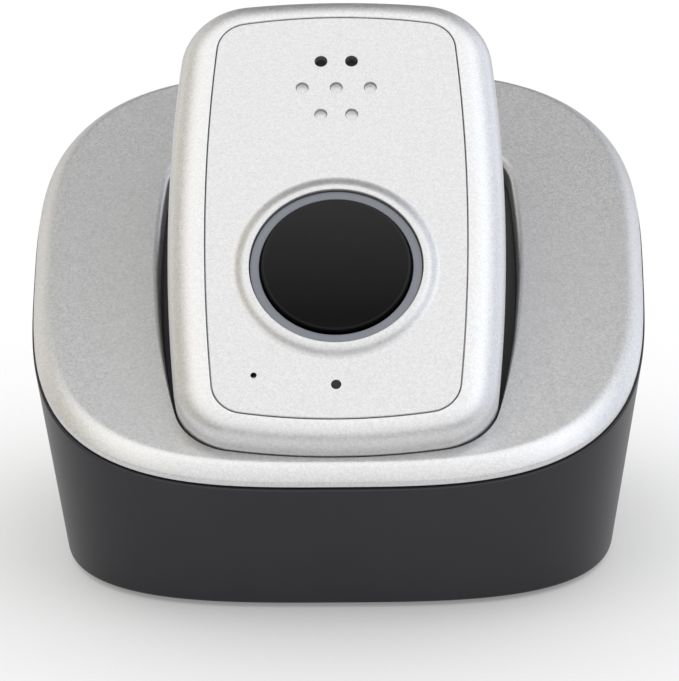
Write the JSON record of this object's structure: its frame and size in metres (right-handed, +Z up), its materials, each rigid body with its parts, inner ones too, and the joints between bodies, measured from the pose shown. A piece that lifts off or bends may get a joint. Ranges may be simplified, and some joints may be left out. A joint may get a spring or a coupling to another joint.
{
  "type": "mobile medical alert device",
  "caption": "Silver help pendant with a round black call button and speaker holes, standing in a charcoal charging cradle with a sloping silver cover.",
  "frame": {"origin": "centre of the bounding box in plan, on the plane of the feet", "axes": "+Z up, the face with the button looks towards -Y, +X to the viewer's right"},
  "size_m": [0.096, 0.09, 0.0795],
  "materials": {
    "charcoal": "satin, fine grain",
    "dark_plastic": "matte",
    "rubber": "matte",
    "screw_steel": "plain",
    "silver": "satin metallic paint",
    "panel_silver": "satin metallic paint",
    "board": "solder mask",
    "contact_metal": "gold plated",
    "jack_plastic": "matte",
    "pin_metal": "nickel plated",
    "lead_jacket": "vinyl",
    "ring_grey": "satin",
    "button_black": "matte",
    "plunger": "plain",
    "shield": "tinned",
    "antenna_strip": "plain",
    "ceramic": "fired ceramic",
    "battery_wrap": "film",
    "speaker_frame": "plain",
    "mesh": "woven",
    "lens": "smoked"
  },
  "bodies": {
    "cradle": {"base_body": "charcoal", "base_plate": "dark_plastic", "rubber_feet": "rubber", "base_screws": "screw_steel", "top_cover": "silver", "dock_cup": "dark_plastic", "dock_screws": "screw_steel", "contact_board": "board", "board_screws": "screw_steel", "contact_barrels": "contact_metal", "power_board": "board", "power_jack": "jack_plastic", "jack_pin": "pin_metal", "power_leads": "lead_jacket"},
    "left_contact": {"contact_pin_left": "contact_metal"},
    "right_contact": {"contact_pin_right": "contact_metal"},
    "pendant": {"front_shell": "silver", "front_panel": "panel_silver", "rear_shell": "silver", "case_gasket": "rubber", "case_screws": "screw_steel", "button_ring": "ring_grey", "switch_body": "jack_plastic", "main_board": "board", "cell_module": "shield", "cell_antenna": "antenna_strip", "position_antenna": "ceramic", "battery_pack": "battery_wrap", "speaker": "speaker_frame", "speaker_mesh": "mesh", "microphone": "shield", "status_led": "lens", "light_pipe": "lens", "charge_pads": "contact_metal"},
    "button": {"sos_button": "button_black"},
    "plunger": {"switch_plunger": "plunger"}
  },
  "joints": [
    {"name": "pendant_lift", "type": "slide", "parent": "cradle", "child": "pendant", "axis": [0, 0, 1], "range_m": [0, 0.06]},
    {"name": "button_press", "type": "slide", "parent": "pendant", "child": "button", "axis": [0, 0.7145, -0.6997], "range_m": [0, 0.0007], "stiffness_N_per_m": 1500, "springref_m": -0.0003},
    {"name": "plunger_press", "type": "slide", "parent": "pendant", "child": "plunger", "axis": [0, 0.7145, -0.6997], "range_m": [0, 0.0007]},
    {"name": "left_contact_press", "type": "slide", "parent": "cradle", "child": "left_contact", "axis": [0, 0.7145, -0.6997], "range_m": [0, 0.0006], "stiffness_N_per_m": 800, "springref_m": -0.0003},
    {"name": "right_contact_press", "type": "slide", "parent": "cradle", "child": "right_contact", "axis": [0, 0.7145, -0.6997], "range_m": [0, 0.0006], "stiffness_N_per_m": 800, "springref_m": -0.0003}
  ],
  "couplings": [
    {"joint": "plunger_press", "follows": "button_press", "ratio": 1}
  ]
}
